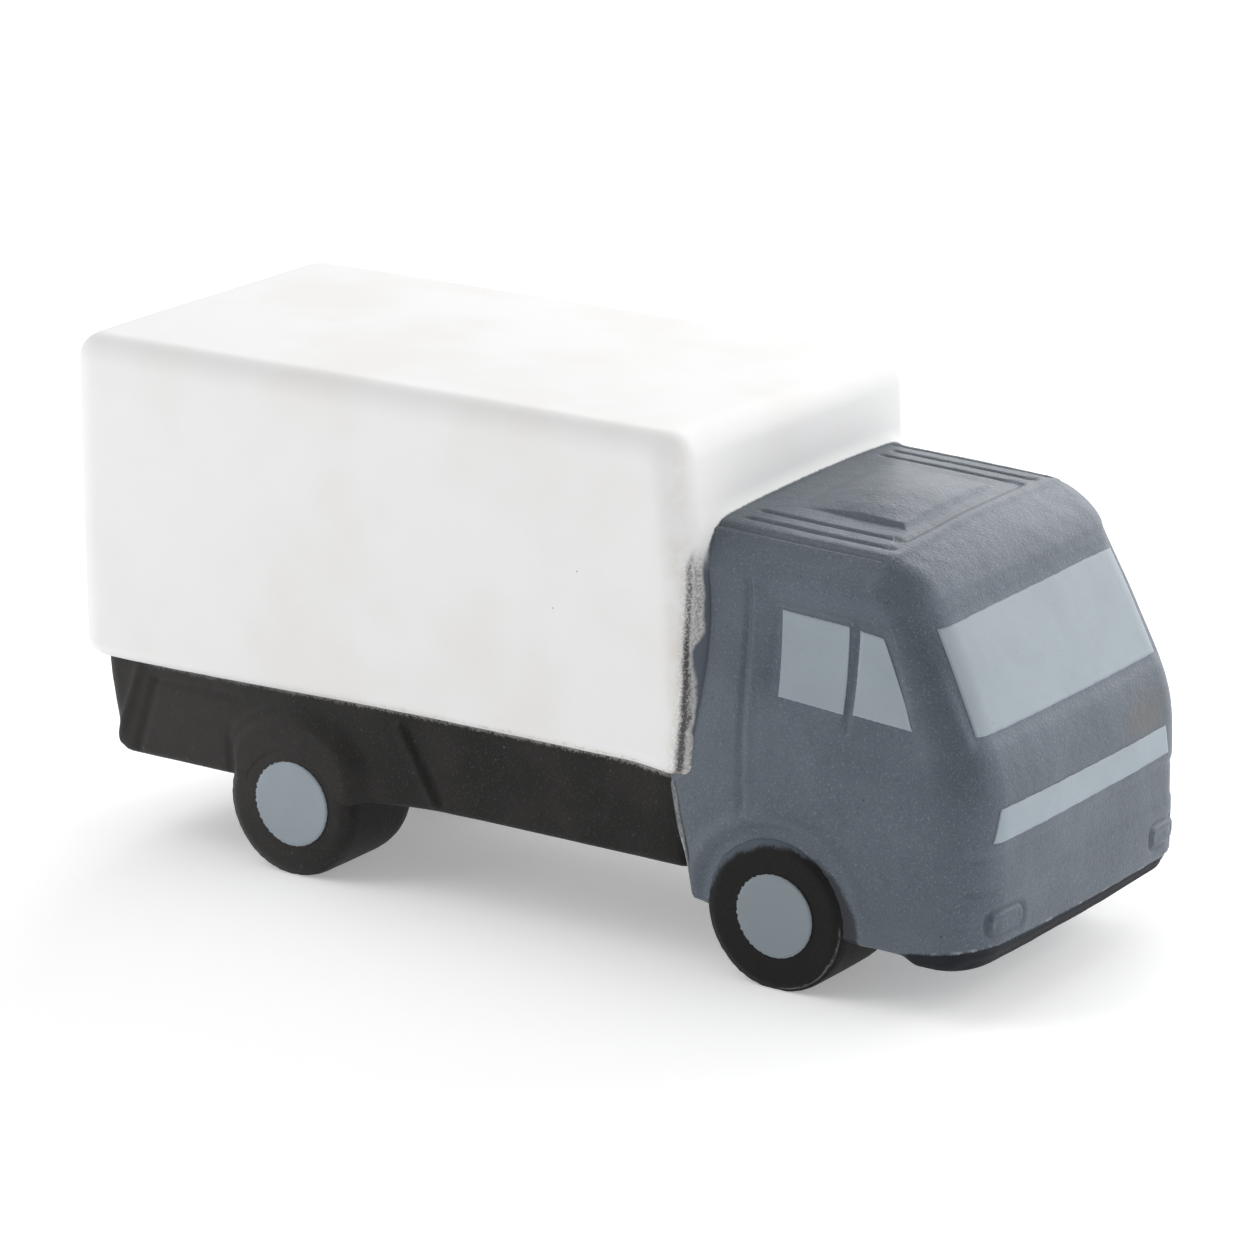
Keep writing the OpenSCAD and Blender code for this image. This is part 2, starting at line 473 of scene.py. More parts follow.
class Shader:
    """A material's node tree and the few ways in which this model adds to it."""

    def __init__(self, name: str) -> None:
        """Starts a material with one Principled shader."""
        self.material = bpy.data.materials.new(name)
        self.material.use_nodes = True
        self.tree = self.material.node_tree
        self.tree.nodes.clear()
        self.surface = self.node("ShaderNodeBsdfPrincipled")
        output = self.node("ShaderNodeOutputMaterial")
        self.tree.links.new(self.surface.outputs[0], output.inputs["Surface"])
        place = self.node("ShaderNodeTexCoord").outputs["Object"]
        scaled = self.node("ShaderNodeVectorMath", {"operation": "SCALE"}, {0: place, "Scale": 1 / MM})
        self.place = scaled.outputs[0]
        parts = self.node("ShaderNodeSeparateXYZ", {}, {0: self.place})
        self.x, self.y, self.z = (Field(self, parts.outputs[i]) for i in range(3))

    def node(
        self, kind: str, settings: dict[str, object] | None = None, inputs: dict[object, object] | None = None
    ) -> bpy.types.Node:
        """Adds a node.

        Args:
            kind: Blender's name of the node's type.
            settings: The node's own settings, which are set first.
            inputs: Values or links of its sockets, by name or number.

        Returns:
            The node.
        """
        node = self.tree.nodes.new(kind)
        for key, value in (settings or {}).items():
            setattr(node, key, value)
        for key, value in (inputs or {}).items():
            self.feed(node.inputs[key], value)
        return node

    def feed(self, socket: bpy.types.NodeSocket, value: object) -> None:
        """Links or sets one socket.

        Args:
            socket: The socket.
            value: A field or a socket to link, or a value to set.
        """
        if isinstance(value, Field):
            value = value.socket
        if isinstance(value, bpy.types.NodeSocket):
            self.tree.links.new(value, socket)
        elif socket.type == "RGBA" and len(value) == 3:
            socket.default_value = (*value, 1.0)
        else:
            socket.default_value = value

    def noise(self, size: float, detail: float = 2.0, roughness: float = 0.5) -> Field:
        """Cloudy noise around 0.5.

        Args:
            size: Length of its blobs in millimetres.
            detail: Number of finer layers.
            roughness: Weight of the finer layers.

        Returns:
            The noise.
        """
        inputs = {"Vector": self.place, "Scale": 1 / size, "Detail": detail, "Roughness": roughness}
        return Field(self, self.node("ShaderNodeTexNoise", {}, inputs).outputs["Fac"])

    def dots(self, spacing: float, radius: float) -> Field:
        """Scattered round dots, 1 inside a dot.

        Args:
            spacing: Usual distance between dots in millimetres.
            radius: Radius of a dot in millimetres.

        Returns:
            The mask.
        """
        inputs = {"Vector": self.place, "Scale": 1 / spacing}
        found = self.node("ShaderNodeTexVoronoi", {"feature": "F1"}, inputs)
        share = radius / spacing
        return Field(self, found.outputs["Distance"]).ease(share, share * 0.5)

    def mix(self, below: object, above: object, share: "Field | float") -> bpy.types.NodeSocket:
        """Lays one colour over another.

        Args:
            below: The lower colour, as a value or a socket.
            above: The upper colour, as a value or a socket.
            share: Share of the upper colour, from 0 to 1.

        Returns:
            The mixed colour.
        """
        settings = {"data_type": "RGBA", "clamp_factor": True}
        node = self.node("ShaderNodeMix", settings, {0: share, 6: below, 7: above})
        return node.outputs[2]

    def bump(self, height: Field, depth: float) -> None:
        """Bumps the surface by a height of 0 to 1 times a depth in millimetres."""
        inputs = {"Height": height, "Distance": depth * MM, "Strength": 1.0}
        self.feed(self.surface.inputs["Normal"], self.node("ShaderNodeBump", {}, inputs).outputs[0])


# ---- Sizes that several parts share ----


@dataclass(frozen=True)
class Plan:
    """Places of the truck's regions, read from the frame."""

    box: tuple[Array, Array] = field(default_factory=lambda: span("box_coat"))
    cab: tuple[Array, Array] = field(default_factory=lambda: span("cab_coat"))
    chassis: tuple[Array, Array] = field(default_factory=lambda: span("chassis_coat"))
    front_tyre: tuple[Array, Array] = field(default_factory=lambda: span("front_left_tyre_coat"))
    rear_tyre: tuple[Array, Array] = field(default_factory=lambda: span("rear_left_tyre_coat"))

    @property
    def front_axle(self) -> float:
        """Place of the front axle line along the truck."""
        return float(self.front_tyre[0][0] + self.front_tyre[1][0]) / 2

    @property
    def rear_axle(self) -> float:
        """Place of the rear axle line along the truck."""
        return float(self.rear_tyre[0][0] + self.rear_tyre[1][0]) / 2

    @property
    def tyre_radius(self) -> float:
        """Radius of a tyre."""
        return float(self.front_tyre[1][0] - self.front_tyre[0][0]) / 2

    @property
    def axle_height(self) -> float:
        """Height of the axle lines, with each tyre on its small flat."""
        return float(self.front_tyre[1][2]) - self.tyre_radius

    @property
    def tyre_face(self) -> float:
        """Distance of the tyres' outer faces from the middle."""
        return float(self.front_tyre[1][1])


PLAN = Plan()
FOAM_DEPTH = 0.6
FILM_DEPTH = 0.5


# ---- Finishes ----


@dataclass(frozen=True)
class Coat:
    """How a coat shines and how its surface feels: its gloss, its grain and its patches."""

    name: str
    roughness: float
    grain: float = 0.25
    grain_depth: float = 0.02
    specular: float = 0.5
    sheen: Colour = (1.0, 1.0, 1.0)
    patchiness: float = 0.06

    def start(self) -> Shader:
        """Starts the coat's material with its uniform values.

        Returns:
            The material's shader.
        """
        shader = Shader(self.name)
        shader.surface.inputs["Specular IOR Level"].default_value = self.specular
        shader.surface.inputs["Specular Tint"].default_value = (*self.sheen, 1.0)
        return shader

    def grained(self, shader: Shader, pits: Field, dull: Field | float = 0.0) -> None:
        """Gives the coat its fine grain and its pits.

        Args:
            shader: The coat's material.
            pits: Mask of the pits.
            dull: Roughness to add where the coat is duller.
        """
        grain = shader.noise(self.grain, 3.0, 0.6)
        swell = shader.noise(self.grain * 6, 2.0)
        shader.bump(grain * 0.6 + swell * 0.8 - pits * 1.5, self.grain_depth)
        base = self.roughness - 0.07 - self.patchiness / 2
        patchy = shader.noise(4.0, 3.0) * self.patchiness + grain * 0.14 + base
        shader.feed(shader.surface.inputs["Roughness"], patchy + dull)


class Paint:
    """The truck's finishes, each a method that gives a finished material."""

    BLACK = linear(31, 30, 29)
    SLATE = linear(81, 90, 99)
    SLATE_PALE = linear(150, 156, 160)
    WHITE = linear(243, 243, 243)
    CREAM = linear(214, 200, 176)
    CHIP = linear(150, 148, 146)

    def __init__(self) -> None:
        """Makes every finish once."""
        self.white = self.white_coat()
        self.slate = self.slate_coat()
        self.black = self.black_coat()
        self.print = self.print_ink()
        self.foam = self.bare_foam()

    @staticmethod
    def front_black(shader: Shader, drift: Field, speckle: Field) -> Field:
        """Share of black round a front wheel, whose sprayed disc sits ahead of the axle line and lower.

        Args:
            shader: The coat's material.
            drift: Slow noise that bends the disc's edge.
            speckle: Fine noise that breaks it up.

        Returns:
            The share.
        """
        along, up = shader.x - PLAN.front_axle - 0.8, shader.z - PLAN.axle_height + 1.4
        ragged = (along * along + up * up).root() + (drift - 0.5) * 0.9 + (speckle - 0.5) * 0.5
        return ragged.ease(8.7, 8.0) * shader.y.size().ease(17.5, 18.2)

    @staticmethod
    def level(shader: Shader) -> Field:
        """Height above the cargo box's lower edge, which sags at the rear and droops at the front."""
        sagged = shader.z + shader.x.ease(-5.0, -48.0) * CargoBox.sag
        return sagged + shader.x.ease(13.0, 19.5) * CargoBox.droop

    def white_coat(self) -> bpy.types.Material:
        """White coat of the cargo box, thin on its corners and misted with the cab's and chassis's colours,
        with painted shade in the dark mist beside the cab.

        Returns:
            The material.
        """
        coat = Coat("white_coat", 0.62, grain=0.3, grain_depth=0.012)
        shader = coat.start()
        x, y, z = shader.x, shader.y, shader.z
        speckle = shader.noise(0.22, 2.0, 0.6)
        drift = shader.noise(2.2, 3.0, 0.6)
        fine = shader.noise(0.6, 2.0)
        front_x, bottom = float(PLAN.box[1][0]), float(PLAN.box[0][2])
        colour = shader.mix(self.WHITE, linear(235, 232, 229), shader.noise(14.0, 2.0).ease(0.4, 0.7) * 0.5)
        # Foam that shows through on the upright front corners
        corner = (x - front_x + 1.0).size().ease(2.0, 0.0) * y.size().ease(17.5, 20.0)
        colour = shader.mix(colour, self.CREAM, corner * drift.ease(0.35, 0.7) * 0.25)
        # Overspray mist beside the cab: pale grey first, then darker blots, then nothing. The darker blots,
        # and the darker grey low down, are partly painted shade where the box front meets the cab's side
        outline = CabForm.outline_field(y, z)
        on_front = x.ease(front_x - 3.4, front_x - 2.6)
        outside = outline + (front_x - x).most(0.0) * 0.7 + (drift - 0.5) * 0.5 + z.ease(35.0, 24.0)
        step = z.ease(33.4, 31.2)
        beside = z.ease(41.5, 38.5) * on_front
        pale = outside.ease(1.6, 1.0) * (0.35 + speckle.ease(0.3, 0.7) * 0.5)
        dark_mist_and_shade = outside.band(1.75, 0.7) * (0.45 + step * 0.35 + speckle.ease(0.3, 0.6) * 0.5)
        haze = outside.ease(3.2, 1.8) * 0.35 * speckle.ease(0.4, 0.6)
        rim = (outside + (speckle - 0.5) * 0.3 - step * z.ease(21.5, 24.0) * 0.75).ease(0.6, 0.35)
        mist = shader.mix(linear(112, 112, 115), linear(86, 86, 89), z.ease(33.0, 29.0) * 0.8)
        colour = shader.mix(colour, mist, pale.most(haze) * beside)
        colour = shader.mix(colour, linear(74, 73, 75), dark_mist_and_shade * beside)
        colour = shader.mix(colour, self.SLATE, rim * beside)
        line = (outline + (fine - 0.5) * 0.15).ease(0.4, 0.2) * z.ease(38.5, 41.5)
        colour = shader.mix(colour, self.SLATE, line * on_front)
        # Black mist along the lower edge, with bare foam above it
        lower = self.level(shader) + (drift - 0.5) * 0.5 + (speckle - 0.5) * 0.3
        bare = lower.band(bottom + 0.6, 0.45) * fine.ease(0.5, 0.65) * x.ease(-30.0, 0.0)
        colour = shader.mix(colour, self.CREAM, bare * 0.7)
        soot = lower.ease(bottom + 0.3, bottom) * x.ease(-47.5, -44.0) * y.size().ease(17.5, 18.8)
        colour = shader.mix(colour, self.BLACK, soot)
        pits = shader.dots(9.0, 0.11)
        colour = shader.mix(colour, self.CHIP, pits * 0.8)
        shader.feed(shader.surface.inputs["Base Color"], colour)
        coat.grained(shader, pits)
        return shader.material

    def slate_coat(self) -> bpy.types.Material:
        """Slate coat of the cab, with black overspray round the tyres and along the bumper's lip.

        Returns:
            The material.
        """
        coat = Coat("slate_coat", 0.45, grain=0.28, grain_depth=0.09, specular=0.65, sheen=(0.8, 0.86, 1.0))
        shader = coat.start()
        x, y, z = shader.x, shader.y, shader.z
        speckle = shader.noise(0.2, 2.0, 0.6)
        drift = shader.noise(2.5, 3.0, 0.6)
        cloud = shader.noise(9.0, 3.0, 0.55)
        colour = shader.mix(linear(73, 82, 90), linear(83, 92, 100), cloud.ease(0.35, 0.65))
        colour = shader.mix(colour, linear(116, 124, 131), speckle.ease(0.55, 0.75) * 0.7)
        colour = shader.mix(colour, linear(50, 56, 63), speckle.ease(0.43, 0.25) * 0.7)
        colour = shader.mix(colour, self.SLATE_PALE, x.ease(28.0, 20.0) * 0.1)
        black = self.front_black(shader, drift, speckle)
        # Worn rear edge of the flange below the cargo box
        worn = (x - 20.0 + (z - 9.5) * 0.19 + (drift - 0.5) * 0.3).band(0.85, 0.35) * z.ease(18.6, 17.8)
        colour = shader.mix(colour, linear(190, 190, 188), worn * (speckle.ease(0.35, 0.6) * 0.5 + 0.35))
        lip = z + y * 0.022 - (x - 51.0) * 0.18 + (drift - 0.5) * 0.4 + (speckle - 0.5) * 0.25
        chin = lip.ease(7.25, 6.95) * x.ease(43.5, 45.5)
        # Painted highlight: a pale line along the raised paint edge above the black lip
        lip_edge_highlight = lip.band(7.2, 0.25) * x.ease(44.0, 49.0) * drift.ease(0.5, 0.7)
        colour = shader.mix(colour, self.SLATE_PALE, lip_edge_highlight)
        colour = shader.mix(colour, linear(16, 16, 16), black.most(chin))
        # Worn brown patch on the nose, above the printed band
        patch = ((y - 11.0) * 0.16).size().ease(1.0, 0.0) * ((z - 22.5) * 0.3).size().ease(1.0, 0.0)
        colour = shader.mix(colour, linear(84, 80, 74), patch * x.ease(48.0, 50.0) * 0.8)
        pits = shader.dots(6.0, 0.13)
        colour = shader.mix(colour, linear(48, 52, 58), pits * 0.7)
        shader.feed(shader.surface.inputs["Base Color"], colour)
        coat.grained(shader, pits, chin * 0.45)
        return shader.material

    def black_coat(self) -> bpy.types.Material:
        """Black coat of the chassis and the tyres, with the cab's slate over the front wheels' edges.

        Returns:
            The material.
        """
        coat = Coat("black_coat", 0.55, grain=0.3, grain_depth=0.1, specular=0.2)
        shader = coat.start()
        x, y, z = shader.x, shader.y, shader.z
        speckle = shader.noise(0.25, 2.0, 0.6)
        drift = shader.noise(1.6, 3.0, 0.6)
        cloud = shader.noise(7.0, 3.0, 0.5)
        colour = shader.mix(linear(28, 27, 26), linear(38, 36, 35), cloud.ease(0.35, 0.65))
        colour = shader.mix(colour, linear(66, 64, 63), speckle.ease(0.55, 0.75) * 0.6)
        flecks = shader.dots(1.5, 0.12) * speckle.ease(0.4, 0.6) * 0.8
        colour = shader.mix(colour, linear(105, 103, 102), flecks)
        # White mist just below the cargo box's edge
        edge = float(PLAN.box[0][2])
        rise = self.level(shader) - edge + 0.5
        rise = (rise + (drift - 0.5) * 0.5).ease(0.0, 0.7) * y.size().ease(17.5, 18.5)
        mist = rise * (speckle + rise * 0.25).ease(0.48, 0.7)
        colour = shader.mix(colour, linear(170, 168, 167), mist * x.ease(-46.0, -42.0) * 0.8)
        # Painted sheen and shade: lighter towards the rear, darker towards the front and over the front tyres
        colour = shader.mix(colour, linear(60, 58, 57), x.ease(-8.0, -40.0) * 0.55)
        colour = shader.mix(colour, linear(17, 16, 15), x.ease(16.0, 22.0) * 0.9)
        # Worn flash line along the lower front of each front wheel's face
        along, up = x - PLAN.front_axle, z - PLAN.axle_height
        radius = (along * along + up * up).root()
        seam = (radius + (drift - 0.5) * 0.7).band(7.15, 0.16) * along.ease(0.0, 1.5)
        seam = seam * up.ease(0.5, -0.5) * y.size().ease(19.2, 19.6) * drift.ease(0.35, 0.55)
        colour = shader.mix(colour, self.CHIP, seam * 0.4)
        slate = x.ease(20.0, 21.0) * z.ease(5.0, 6.2) * y.size().ease(18.4, 18.9)
        slate = slate * (1 - self.front_black(shader, drift, speckle))
        colour = shader.mix(colour, self.SLATE, slate)
        shader.feed(shader.surface.inputs["Base Color"], colour)
        coat.grained(shader, shader.dots(5.0, 0.12))
        return shader.material

    def print_ink(self) -> bpy.types.Material:
        """Pale blue ink of the glass and the hubs.

        Returns:
            The material.
        """
        coat = Coat("pale_blue_print", 0.5, grain=0.25, grain_depth=0.02, patchiness=0.02)
        shader = coat.start()
        speckle = shader.noise(0.25, 2.0, 0.6)
        cloud = shader.noise(6.0, 3.0)
        colour = shader.mix(linear(145, 156, 164), linear(149, 160, 168), cloud.ease(0.35, 0.65))
        colour = shader.mix(colour, linear(112, 123, 133), speckle.ease(0.38, 0.22) * 0.5)
        # Painted shade: the front hubs are darker than the rest
        front_hub_shade = shader.z.ease(14.0, 12.0) * shader.x.ease(-5.0, 5.0) * 0.8
        colour = shader.mix(colour, linear(122, 132, 138), front_hub_shade)
        shader.feed(shader.surface.inputs["Base Color"], colour)
        coat.grained(shader, shader.dots(6.0, 0.1))
        return shader.material

    def bare_foam(self) -> bpy.types.Material:
        """Cream foam of the casting, full of small open cells.

        Returns:
            The material.
        """
        coat = Coat("cream_foam", 0.85, grain=0.4, grain_depth=0.1)
        shader = coat.start()
        cells = shader.dots(0.9, 0.3)
        colour = shader.mix(self.CREAM, linear(180, 160, 128), cells * 0.6)
        # Overspray on the underside, where the cab's coat ends behind the front wheels
        colour = shader.mix(colour, self.SLATE, shader.z.ease(10.5, 9.5) * 0.9)
        shader.feed(shader.surface.inputs["Base Color"], colour)
        coat.grained(shader, cells)
        return shader.material


class Slot(Enum):
    """The record's material slots."""

    FOAM = "polyurethane_foam"
    WHITE = "white_coat"
    SLATE = "slate_coat"
    BLACK = "black_coat"
    PRINT = "pale_blue_print"


def dress(piece: bpy.types.Object, material: bpy.types.Material, slot: Slot, *nodes: str) -> None:
    """Finishes a piece and ties it to the frame.

    Args:
        piece: The finished piece.
        material: Its finish.
        slot: The record's slot of that finish; not used.
        nodes: The CAD nodes that it stands for.
    """
    piece.data.materials.append(material)
    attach(piece, ROOT)
    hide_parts(*nodes)
    LOG.info("%s: %d faces", piece.name, len(piece.data.polygons))


# ---- Cab ----


@dataclass
class CabForm:
    """The cab: a raked nose over a wide bumper, with a crowned roof."""

    rear: float = 16.0
    nose: float = field(default_factory=lambda: float(PLAN.cab[1][0]))
    floor: float = 4.6
    roof: float = 43.4
    half: float = 19.9
    lean_in: tuple[float, float] = (2.3, 0.8)
    lean_from: float = 20.0
    lean_to: float = 38.0
    rake: float = 0.5
    rake_from: float = 23.5
    crown: float = 0.45
    roof_crown: float = 0.5
    roof_round: float = 4.4
    roof_fall: float = 0.6
    roof_tilt: float = 0.025
    flange_rear: float = 18.4
    flange_slant: float = 0.19
    flange_top: float = 17.8
    rear_round: float = 4.7
    squeeze: float = 0.15
    bezel: tuple[float, float] = (14.7, 9.8)
    cuts: tuple[int, int, int] = (124, 168, 112)
    coarse: tuple[int, int, int] = (30, 34, 34)
    open_side = Vector((-1, 0, 0))

    # Divider of the side window, rear groove of the door, its raised edge, and its upper groove
    side_lines = [
        ((38.0, 36.4), (37.9, 27.0), -0.2, 0.28),
        ((26.1, 38.6), (26.9, 16.6), -0.26, 0.3),
        ((26.8, 38.4), (27.6, 16.8), 0.08, 0.4),
        ((26.1, 38.6), (35.0, 38.9), -0.06, 0.4),
    ]
    window_frame = [(28.4, 26.8), (28.8, 37.25), (41.4, 36.6), (45.3, 26.4)]
    windscreen_frame = [(-16.7, 37.6), (-8, 38.0), (8, 38.0), (16.7, 37.6), (17.0, 26.6), (-17.0, 26.6)]
    panel = [(18.0, -15.9), (40.3, -15.5), (40.3, 15.5), (18.0, 15.9)]
    hatch = [(25.2, -7.9), (37.2, -7.9), (37.2, 7.9), (25.2, 7.9)]
    roof_grooves = [(10.7, 23.0, 38.7), (12.9, 23.0, 39.0), (15.0, 20.0, 39.4)]

    def form(self) -> Form:
        """The rounded box that the cab is shaped from."""
        return Form(
            low=(self.rear, -self.half, self.floor),
            high=(self.nose, self.half, self.roof),
            rear_corner=(self.rear_round, self.rear_round),
            front_corner=(4.8, 4.9),
            upper=(4.2, 4.2, 3.8),
            lower=(0.75, 0.75, 2.3),
        )

    def half_width(self, y: Array, z: Array) -> Array:
        """Half width of the cab, whose right side leans in further.

        Args:
            y: Places across the truck, which pick the side.
            z: Heights.

        Returns:
            The half width at each place.
        """
        right, left = self.lean_in
        lean = right + (left - right) * ease(-8.0, 8.0, y)
        return self.half - lean * ease(self.lean_from, self.lean_to, z)

    def front(self, z: Array) -> Array:
        """How far forward the nose reaches at a height, in the middle."""
        return self.nose - self.rake * knee(z, self.rake_from, 1.6)

    def rear_edge(self, z: Array) -> Array:
        """Place of the cab's rear edge below the cargo box, which leans forwards."""
        return self.flange_rear + self.flange_slant * np.maximum(self.flange_top - z, 0)

    @staticmethod
    def outline_field(y: Field, z: Field) -> Field:
        """Distance outside the cab's outline where it meets the cargo box, for the paint there.

        Args:
            y: Place across the truck.
            z: Height.

        Returns:
            The distance, below zero inside the outline.
        """
        form = CabForm()
        right, left = form.lean_in
        lean = z.ease(form.lean_from, form.lean_to) * (y.ease(-8.0, 8.0) * (left - right) + right)
        across = y.size() - form.half + lean
        up = z - form.roof - 0.3 + (y / 15.0) ** 2 * form.roof_crown - y * form.roof_tilt
        round_ = form.roof_round
        corner_across, corner_up = (across + round_).most(0.0), (up + round_).most(0.0)
        return (corner_across * corner_across + corner_up * corner_up).root() - round_

    def outside(self, y: Array, z: Array) -> Array:
        """Distance outside the cab's outline where it meets the cargo box, for the shape there.

        Args:
            y: Places across the truck.
            z: Heights.

        Returns:
            The distance of each point, below zero inside the outline.
        """
        over = z - self.roof - 0.3 + self.roof_crown * (y / 15.0) ** 2 - self.roof_tilt * y
        across = np.maximum(np.abs(y) - self.half_width(y, z) + self.roof_round, 0)
        return np.hypot(across, np.maximum(over + self.roof_round, 0)) - self.roof_round

    def shape(self, points: Array) -> Array:
        """Leans, rakes and crowns the rounded box.

        Args:
            points: Points on the rounded box, a row each.

        Returns:
            The points on the cab.
        """
        x, y, z = points.T
        share = y / self.half
        forward = ease(22.0, 42.0, x)
        x = x - (self.nose - self.front(z)) * forward
        x = x - self.crown * share**2 * forward
        # Below the cargo box the rear ends in a narrow flange
        edge, start, end = self.rear_edge(z), self.rear + self.rear_round, 30.0
        narrow = edge + self.squeeze * np.minimum(x - self.rear, self.rear_round)
        stretch = (end - edge - self.squeeze * self.rear_round) / (end - start)
        narrow = narrow + np.maximum(x - start, 0) * stretch
        x = x + ease(19.2, 18.2, z) * (x < end) * (narrow - x)
        y = share * self.half_width(y, z)
        high = ease(32.0, self.roof, z)
        low = ease(15.0, 7.5, z)
        crowned = self.roof_crown * (0.5 - (y / 15.0) ** 2) + self.roof_tilt * y
        z = z + high * (crowned - self.roof_fall * (x - 21.0) / 19.0)
        z = z + low * (0.75 + 0.7 * ease(46.3, 44.3, x) + 1.0 * ease(27.0, 21.0, x))
        return np.column_stack([x, y, z])

    def relief(self, points: Array, out: Array) -> Array:
        """Height of everything moulded into the cab's surface.

        Args:
            points: Points on the cab, a row each.
            out: The surface's outward directions there.

        Returns:
            The height at each point.
        """
        x, y, z = points.T
        side = ease(0.5, 0.8, np.abs(out[:, 1]))
        top = ease(0.55, 0.85, out[:, 2]) * ease(19.6, 20.2, x)
        front = ease(0.4, 0.75, out[:, 0])
        height = 0.06 * ripple(points, 12.0, 3) + 0.02 * ripple(points, 3.0, 5)
        height += side * self.side_relief(x, z)
        height += front * self.nose_relief(y, z)
        return height + top * self.roof_relief(x, y)

    def side_relief(self, x: Array, z: Array) -> Array:
        """Window recess, door line, wheel arch and rear flange.

        Args:
            x: Places along the truck.
            z: Heights.

        Returns:
            The height at each point.
        """
        recess = outline_distance(x, z, self.window_frame)
        edge = 0.3 + 0.9 * ease(30.5, 28.0, x)
        height = -0.34 * ease(1, -1, recess / edge) * ease(26.0, 31.0, z)
        for start, end, rise, width in self.side_lines:
            height += rise * bell(line_distance(x, z, start, end), width)
        radius = np.hypot(x - PLAN.front_axle, z - PLAN.axle_height)
        turn = np.degrees(np.arctan2(z - PLAN.axle_height, x - PLAN.front_axle))
        strong = 0.35 + 0.65 * ease(50.0, 100.0, turn)
        height += 0.45 * strong * bell(radius - 9.5, 0.8)
        height -= 0.25 * strong * bell(radius - 8.3, 0.6)
        height += 0.1 * ease(12.2, 11.2, z) * ease(40.0, 42.0, x)
        crease = x - self.rear_edge(z) - 1.2 + 0.03 * (z - 7)
        below = ease(19.0, 17.5, z)
        return height - below * (0.45 * ease(0.5, -0.1, crease) + 0.2 * bell(crease, 0.25))

    def nose_relief(self, y: Array, z: Array) -> Array:
        """Brow, windscreen recess, bumper steps, lamp bezels and lower lip.

        Args:
            y: Places across the truck.
            z: Heights.

        Returns:
            The height at each point.
        """
        height = 0.1 * ease(38.6, 39.2, z)
        height -= 0.16 * ease(0.5, -0.5, outline_distance(y, z, self.windscreen_frame))
        height -= 0.12 * bell(z - 16.6, 0.35) + 0.14 * ease(16.9, 16.2, z) * ease(12.6, 13.2, z)
        across, up = np.abs(np.abs(y) - self.bezel[0]) - 1.8, np.abs(z - self.bezel[1]) - 0.35
        outside, inside = np.hypot(np.maximum(across, 0), np.maximum(up, 0)), np.maximum(across, up)
        bezel = outside + np.minimum(inside, 0) - 0.7
        height += 0.18 * bell(bezel + 0.3, 0.25) - 0.36 * bell(bezel - 0.15, 0.25)
        return height - 0.35 * ease(7.6, 7.1, z)

    def roof_relief(self, x: Array, y: Array) -> Array:
        """Raised panel, its grooves and the hatch.

        Args:
            x: Places along the truck.
            y: Places across it.

        Returns:
            The height at each point.
        """
        across = np.abs(y)
        height = 0.24 * ease(0.25, -0.2, outline_distance(x, y, self.panel))
        for place, start, end in self.roof_grooves:
            ends = ease(start - 0.4, start + 0.4, x) * ease(end + 0.3, end - 0.3, x)
            height -= 0.26 * bell(across - place, 0.26) * ends
        height -= 0.2 * bell(x - 38.7, 0.26) * ease(10.9, 10.5, across)
        rim = outline_distance(x, y, self.hatch)
        (rear, _), _, (front, left), _ = self.hatch
        u, v = (x - (rear + front) / 2) / ((front - rear) / 2), y / left
        dome = np.clip(1 - u**2, 0, 1) * np.clip(1 - v**2, 0, 1) * 0.8
        return height + 0.34 * ease(0.1, -0.5, rim) * ease(-1.0, 0.3, u) + dome

    def build(self, paint: Paint) -> bpy.types.Object:
        """Makes the cab's coat.

        Args:
            paint: The finishes.

        Returns:
            The coat.
        """
        outer = self.form().skin(self.cuts, self.shape, self.relief, self.open_side)
        inner = shrunk(self.form().skin(self.coarse, self.shape, None, self.open_side), FILM_DEPTH)
        piece = new_object("cab_slate_skin", film(outer, inner))
        dress(piece, paint.slate, Slot.SLATE, "cab_coat")
        return piece


# ---- Cargo box ----


